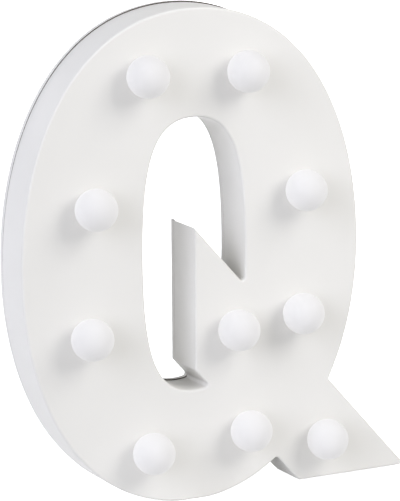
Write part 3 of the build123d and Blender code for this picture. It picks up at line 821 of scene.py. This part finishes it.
class LETTER_OT_stage(bpy.types.Operator):
    """Set up the pale floor, the white surroundings, the soft lamps and the camera"""

    bl_idname = "letter.stage"
    bl_label = "Set the Stage"

    def execute(self, context):
        stage = context.scene.letter_stage
        self.make_floor(stage)
        self.make_world(context, stage)
        self.add_lamp("key_lamp", KEY_PLACE, stage.key_size, stage.key_power, stage.lamp_tint)
        # Straight behind, so that it lights the back cover and hardly grazes the walls
        self.add_lamp("back_lamp", BACK_PLACE, stage.back_size, stage.back_power, stage.lamp_tint)
        self.make_camera(context, stage)
        context.scene.view_settings.view_transform = "Standard"
        return {"FINISHED"}

    def seen_directly(self, tree):
        """1 for rays from the camera, from gloss and through glass, and 0 for the rest."""
        path = add_node(tree, "ShaderNodeLightPath")
        either = add_node(tree, "ShaderNodeMath", {
            0: (path, "Is Camera Ray"), 1: (path, "Is Glossy Ray"),
        }, operation="MAXIMUM")
        return add_node(tree, "ShaderNodeMath", {
            0: (either, 0), 1: (path, "Is Transmission Ray"),
        }, operation="MAXIMUM")

    def make_floor(self, stage):
        """Large pale floor: white to the camera and in gloss, and light grey in its bounce."""
        bpy.ops.object.select_all(action="DESELECT")
        bpy.ops.mesh.primitive_plane_add(size=FLOOR_SIZE, location=(0, 0, -FLOOR_DROP))
        floor = added("floor")
        material, tree, place = start_material("Pale studio floor")
        seen = self.seen_directly(tree)
        tone = add_node(tree, "ShaderNodeMix", {
            0: (seen, 0), 6: with_alpha(stage.floor_shade), 7: with_alpha(stage.floor),
        }, data_type="RGBA")
        matt = add_node(tree, "ShaderNodeBsdfDiffuse", {"Color": (tone, 2)})
        glow = add_node(tree, "ShaderNodeEmission", {
            "Color": with_alpha(stage.floor), "Strength": (seen, 0),
        })
        lit = add_node(tree, "ShaderNodeAddShader", {0: (matt, 0), 1: (glow, 0)})
        add_node(tree, "ShaderNodeOutputMaterial", {"Surface": (lit, 0)})
        floor.data.materials.append(material)

    def make_world(self, context, stage):
        """White to the camera and in gloss. To all else, soft light from the front and the left.

        The light from the left comes mostly from ahead of the letter and from above, so that it
        brightens the letter's left wall more than the walls of its counter.
        """
        world = bpy.data.worlds.new("Soft studio")
        world.use_nodes = True
        context.scene.world = world
        tree = world.node_tree
        tree.nodes.clear()
        seen = self.seen_directly(tree)
        sky = add_node(tree, "ShaderNodeTexCoord")
        direction = add_node(tree, "ShaderNodeSeparateXYZ", {"Vector": (sky, "Generated")})
        front = add_node(tree, "ShaderNodeMapRange", {
            "Value": (direction, "Y"), "From Min": -0.3, "From Max": 0.3,
            "To Min": stage.front_light, "To Max": stage.rear_light,
        }, interpolation_type="SMOOTHSTEP")
        left = add_node(tree, "ShaderNodeMapRange", {
            "Value": (direction, "X"), "From Min": -1.0, "From Max": -0.5,
            "To Min": stage.left_light, "To Max": 0.0,
        }, interpolation_type="SMOOTHSTEP")
        ahead = add_node(tree, "ShaderNodeMapRange", {
            "Value": (direction, "Y"), "From Min": -0.35, "From Max": 0.25,
            "To Min": 1.0, "To Max": 0.08,
        }, interpolation_type="SMOOTHSTEP")
        raised = add_node(tree, "ShaderNodeMapRange", {
            "Value": (direction, "Z"), "From Min": 0.0, "From Max": 0.6,
            "To Min": 0.45, "To Max": 1.6,
        })
        ahead_left = add_node(tree, "ShaderNodeMath", {
            0: (left, 0), 1: (ahead, 0),
        }, operation="MULTIPLY")
        upper_left = add_node(tree, "ShaderNodeMath", {
            0: (ahead_left, 0), 1: (raised, 0),
        }, operation="MULTIPLY")
        white = add_node(tree, "ShaderNodeBackground", {"Color": (1, 1, 1, 1), "Strength": 1.0})
        even = add_node(tree, "ShaderNodeBackground", {
            "Color": (1, 1, 1, 1), "Strength": (front, 0),
        })
        side = add_node(tree, "ShaderNodeBackground", {
            "Color": with_alpha(stage.left_tint), "Strength": (upper_left, 0),
        })
        soft = add_node(tree, "ShaderNodeAddShader", {0: (even, 0), 1: (side, 0)})
        light = add_node(tree, "ShaderNodeMixShader", {0: (seen, 0), 1: (soft, 0), 2: (white, 0)})
        add_node(tree, "ShaderNodeOutputWorld", {"Surface": (light, 0)})

    def add_lamp(self, name, place, size, power, tint):
        """Square soft lamp that faces the letter."""
        turn = (place - AIM).to_track_quat("Z", "Y").to_euler()
        bpy.ops.object.light_add(type="AREA", location=place, rotation=turn)
        lamp = bpy.context.object
        lamp.name = name
        lamp.data.shape = "SQUARE"
        lamp.data.size = size
        lamp.data.energy = power
        lamp.data.color = tint
        lamp.visible_camera = False

    def make_camera(self, context, stage):
        """Camera at the photograph's place and angle."""
        turn = (
            Matrix.Rotation(-stage.yaw, 4, "Z")
            @ Matrix.Rotation(math.radians(90) - stage.pitch, 4, "X")
            @ Matrix.Rotation(stage.roll, 4, "Z")
        )
        bpy.ops.object.camera_add(location=CAMERA_PLACE, rotation=turn.to_euler())
        camera = bpy.context.object
        camera.name = "camera"
        camera.data.lens = stage.lens
        camera.data.sensor_width = 36
        camera.data.clip_start = 0.05
        camera.data.clip_end = 50
        context.scene.camera = camera


STEPS = (
    LETTER_OT_casing,
    LETTER_OT_globes,
    LETTER_OT_screws,
    LETTER_OT_cells,
    LETTER_OT_switch,
    LETTER_OT_wiring,
    LETTER_OT_stage,
)


class LETTER_PT_panel(bpy.types.Panel):
    """Panel with the letter's values and its steps"""

    bl_label = "Light-up Letter"
    bl_idname = "LETTER_PT_panel"
    bl_space_type = "VIEW_3D"
    bl_region_type = "UI"
    bl_category = "Letter"

    def draw(self, context):
        scene = context.scene
        for title, group in (
            ("Sizes", scene.letter_sizes),
            ("Colours", scene.letter_colours),
            ("Stage", scene.letter_stage),
        ):
            box = self.layout.box()
            box.label(text=title)
            for name in group.__annotations__:
                box.prop(group, name)
        column = self.layout.column(align=True)
        for step in STEPS:
            column.operator(step.bl_idname)


GROUPS = {
    "letter_sizes": LetterSizes,
    "letter_colours": LetterColours,
    "letter_stage": LetterStage,
}


def register():
    for name, group in GROUPS.items():
        bpy.utils.register_class(group)
        setattr(bpy.types.Scene, name, PointerProperty(type=group))
    for step in (*STEPS, LETTER_PT_panel):
        bpy.utils.register_class(step)


def unregister():
    for step in (LETTER_PT_panel, *reversed(STEPS)):
        bpy.utils.unregister_class(step)
    for name, group in reversed(GROUPS.items()):
        delattr(bpy.types.Scene, name)
        bpy.utils.unregister_class(group)


def main():
    register()
    bpy.ops.letter.casing()
    bpy.ops.letter.globes()
    bpy.ops.letter.screws()
    bpy.ops.letter.cells()
    bpy.ops.letter.switch()
    bpy.ops.letter.wiring()
    bpy.ops.letter.stage()


if __name__ == "__main__":
    main()
